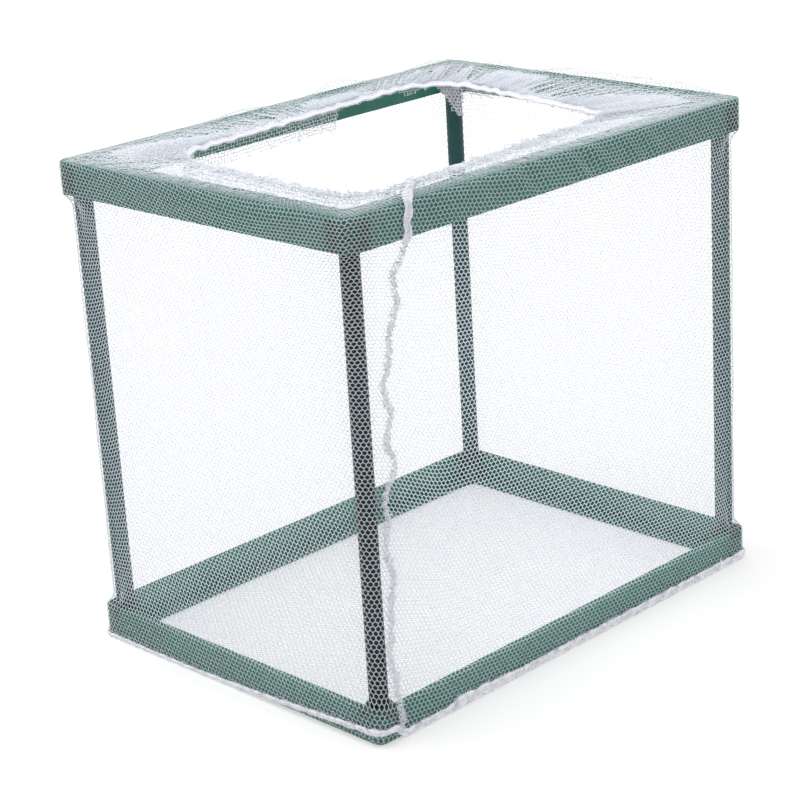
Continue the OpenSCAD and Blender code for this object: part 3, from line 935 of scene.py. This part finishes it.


# Where the ring's colour is darkened with painted shade of a post behind it: reach from the post's axis, softness of
# the edge, and the distances that stay clear below the top face and below the open edge of the bottom ring
POST_SHADE_R = 5.3
POST_SHADE_SOFT = 0.6
TOP_CLEAR = 0.7
BOTTOM_CLEAR = 2.4
# x + y is below this at the front left post alone, whose colour gets painted shade
FRONT_LEFT_SUM = -75


def ring_plastic():
    """Green moulded plastic that lets some light through. Its colour is darkened with painted shade where a post stands
    behind the wall of its socket."""
    mat, nodes, links, bsdf = new_material("ring_plastic")
    noise, ramp = mottled(nodes, links, (0.036, 0.122, 0.104), (0.050, 0.150, 0.128), 60)
    x, y, z = object_place(nodes, links)
    wall = calculated(nodes, links, "LESS_THAN", z, (TOP_Z - TOP_CLEAR) * MM)
    upper = calculated(nodes, links, "GREATER_THAN", z, (BASE_Z + RING_H - BOTTOM_CLEAR) * MM)
    shown = calculated(nodes, links, "MULTIPLY", wall, upper)
    share = calculated(nodes, links, "MULTIPLY", shown, post_shade_mask(nodes, links, x, y))
    # Painted shade: the colour turns to this near-black green where a post stands behind the wall
    colour = darkened(nodes, links, share, ramp.outputs["Color"], (0.012, 0.030, 0.028))
    links.new(colour, bsdf.inputs["Base Color"])
    bsdf.inputs["Roughness"].default_value = 0.42
    bump = add_node(nodes, "ShaderNodeBump", Strength=0.08, Distance=0.0003)
    links.new(noise.outputs["Fac"], bump.inputs["Height"])
    links.new(bump.outputs["Normal"], bsdf.inputs["Normal"])
    mix_translucent(nodes, links, bsdf, (0.20, 0.50, 0.42), 0.5)
    return mat


def post_plastic():
    """Dark teal rod with faint streaks along its length. The post at the front left corner gets painted shade: its
    colour is made darker by its place, to match the photograph's light there."""
    mat, nodes, links, bsdf = new_material("post_plastic")
    noise, ramp = mottled(nodes, links, (0.013, 0.054, 0.054), (0.020, 0.068, 0.067), 300, stretch=(1, 1, 0.03))
    x, y, _ = object_place(nodes, links)
    front_left_shade = calculated(
        nodes, links, "LESS_THAN", calculated(nodes, links, "ADD", x, y), FRONT_LEFT_SUM * MM
    )
    # Painted shade: the front left post's colour is multiplied by this dark tint
    colour = darkened(nodes, links, front_left_shade, ramp.outputs["Color"], (0.28, 0.24, 0.27), blend="MULTIPLY")
    links.new(colour, bsdf.inputs["Base Color"])
    bsdf.inputs["Roughness"].default_value = 0.4
    bsdf.inputs["Specular IOR Level"].default_value = 0.2
    bump = add_node(nodes, "ShaderNodeBump", Strength=0.1, Distance=0.0002)
    links.new(noise.outputs["Fac"], bump.inputs["Height"])
    links.new(bump.outputs["Normal"], bsdf.inputs["Normal"])
    return mat


def thread(name, low, high, through, share, clear=0.0, spun=True, scale=700):
    """Thread with a soft sheen, small changes of tone and some light from behind. Spun thread has a rough surface."""
    mat, nodes, links, bsdf = new_material(name)
    _, ramp = mottled(nodes, links, low, high, scale)
    links.new(ramp.outputs["Color"], bsdf.inputs["Base Color"])
    bsdf.inputs["Roughness"].default_value = 0.55
    bsdf.inputs["Sheen Weight"].default_value = 0.15
    if spun:
        fine = add_node(nodes, "ShaderNodeTexNoise", Scale=2600.0, Detail=3.0, Roughness=0.7)
        links.new(nodes["Texture Coordinate"].outputs["Object"], fine.inputs["Vector"])
        bump = add_node(nodes, "ShaderNodeBump", Strength=0.7, Distance=0.00025)
        links.new(fine.outputs["Fac"], bump.inputs["Height"])
        links.new(bump.outputs["Normal"], bsdf.inputs["Normal"])
    mix_translucent(nodes, links, bsdf, through, share)
    if clear:
        mix_clear(nodes, links, clear)
    return mat


def make_materials():
    return {
        "ring_plastic": ring_plastic(),
        "post_plastic": post_plastic(),
        "netting": thread(
            "netting", (0.80, 0.83, 0.88), (0.87, 0.90, 0.94), (0.88, 0.90, 0.94), 0.55, clear=0.5, spun=False
        ),
        "edge_netting": thread(
            "edge_netting", (0.90, 0.92, 0.95), (0.95, 0.96, 0.98), (0.95, 0.96, 0.98), 0.4, clear=0.1, spun=False
        ),
        "seam_thread": thread("seam_thread", (0.86, 0.87, 0.93), (0.94, 0.95, 0.98), (0.93, 0.94, 0.98), 0.35),
        "elastic": thread("elastic", (0.80, 0.80, 0.88), (0.90, 0.90, 0.95), (0.88, 0.88, 0.95), 0.3),
    }


def dress_nodes(materials):
    slots = {p["node"]: p["material_slot"] for p in frame["record"]["subparts"]}
    for name, obj in frame["nodes"].items():
        mat = materials[slots[name]]
        if not obj.material_slots:
            obj.data.materials.append(mat)
        for s in obj.material_slots:
            s.material = mat


# Stage, light and camera

# Reach of the floor from the middle in metres, its glow near the part and further off, and the metres between these
FLOOR_REACH = 6.0
FLOOR_GLOW = (0.5, 0.75)
GLOW_FROM = 0.1
GLOW_TO = 0.55
# Strength of the sky as light, and as a background for the camera
SKY = 1.15
BACKDROP = 1.3


def make_floor():
    """A white table that glows a little, so that it shows hardly any shadow, and more further off. It is there for the
    camera alone, so the light on the object comes from the studio."""
    mesh = bpy.data.meshes.new("floor")
    r = FLOOR_REACH
    mesh.from_pydata([(-r, -r, 0), (r, -r, 0), (r, r, 0), (-r, r, 0)], [], [(0, 1, 2, 3)])
    obj = bpy.data.objects.new("floor", mesh)
    bpy.context.scene.collection.objects.link(obj)
    mat, nodes, links, bsdf = new_material("floor")
    _, ramp = mottled(nodes, links, (0.36, 0.36, 0.36), (0.38, 0.38, 0.38), 3)
    links.new(ramp.outputs["Color"], bsdf.inputs["Base Color"])
    bsdf.inputs["Roughness"].default_value = 0.9
    bsdf.inputs["Specular IOR Level"].default_value = 0.1
    bsdf.inputs["Emission Color"].default_value = (1, 1, 1, 1)
    reach = add_node(nodes, "ShaderNodeVectorMath", operation="LENGTH")
    glow = add_node(nodes, "ShaderNodeMapRange")
    glow.inputs["From Min"].default_value = GLOW_FROM
    glow.inputs["From Max"].default_value = GLOW_TO
    glow.inputs["To Min"].default_value = FLOOR_GLOW[0]
    glow.inputs["To Max"].default_value = FLOOR_GLOW[1]
    links.new(nodes["Texture Coordinate"].outputs["Object"], reach.inputs[0])
    links.new(reach.outputs["Value"], glow.inputs["Value"])
    links.new(glow.outputs[0], bsdf.inputs["Emission Strength"])
    mesh.materials.append(mat)
    obj.visible_diffuse = False
    obj.visible_glossy = False


def make_light():
    scene = bpy.context.scene
    scene.view_settings.view_transform = "Standard"
    world = bpy.data.worlds.new("studio")
    scene.world = world
    world.use_nodes = True
    nodes, links = world.node_tree.nodes, world.node_tree.links
    light = nodes["Background"]
    light.inputs["Color"].default_value = (1, 1, 1, 1)
    light.inputs["Strength"].default_value = SKY
    seen = nodes.new("ShaderNodeBackground")
    seen.inputs["Color"].default_value = (1, 1, 1, 1)
    seen.inputs["Strength"].default_value = BACKDROP
    path = nodes.new("ShaderNodeLightPath")
    mix = nodes.new("ShaderNodeMixShader")
    links.new(path.outputs["Is Camera Ray"], mix.inputs["Fac"])
    links.new(light.outputs[0], mix.inputs[1])
    links.new(seen.outputs[0], mix.inputs[2])
    links.new(mix.outputs[0], nodes["World Output"].inputs["Surface"])
    for name, place, size, power in (
        ("key", (-0.25, 0.45, 1.6), 1.0, 18),
        ("fill", (0.8, -0.9, 0.9), 1.0, 2),
    ):
        lamp = bpy.data.lights.new(name, "AREA")
        lamp.size = size
        lamp.energy = power
        obj = bpy.data.objects.new(name, lamp)
        obj.location = place
        z = unit(np.array(place) - np.array([0, 0, 0.07]))
        x = unit(np.cross((0, 0, 1), z))
        obj.rotation_euler = Matrix(np.stack([x, np.cross(z, x), z], -1).tolist()).to_euler()
        scene.collection.objects.link(obj)


def make_camera():
    az, el, roll = (math.radians(a) for a in (CAMERA_AZIMUTH, CAMERA_ELEVATION, CAMERA_ROLL))
    ahead = np.array([math.sin(az) * math.cos(el), math.cos(az) * math.cos(el), -math.sin(el)])
    level = unit(np.cross(ahead, (0, 0, 1)))
    up = np.cross(level, ahead)
    right = level * math.cos(roll) + up * math.sin(roll)
    up = np.cross(right, ahead)
    camera = bpy.data.cameras.new("camera")
    camera.lens = CAMERA_LENS
    camera.sensor_width = 36
    camera.clip_start = 0.01
    camera.clip_end = 50
    obj = bpy.data.objects.new("camera", camera)
    m = Matrix(np.stack([right, up, -ahead], -1).tolist()).to_4x4()
    m.translation = [c * MM for c in CAMERA_PLACE]
    obj.matrix_world = m
    bpy.context.scene.collection.objects.link(obj)
    bpy.context.scene.camera = obj


def main():
    materials = make_materials()
    dress_nodes(materials)
    make_camera()
    make_light()
    make_floor()
    for piece, cut, share, held, more in pieces_of_strip(materials) + floor_net(materials):
        for part in [piece] + more:
            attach(part, BODY)
    for piece, slot, stands_for in floor_seam(materials) + side_seam(materials) + elastic(materials):
        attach(piece, BODY)
        for node in stands_for:
            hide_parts(node)


main()
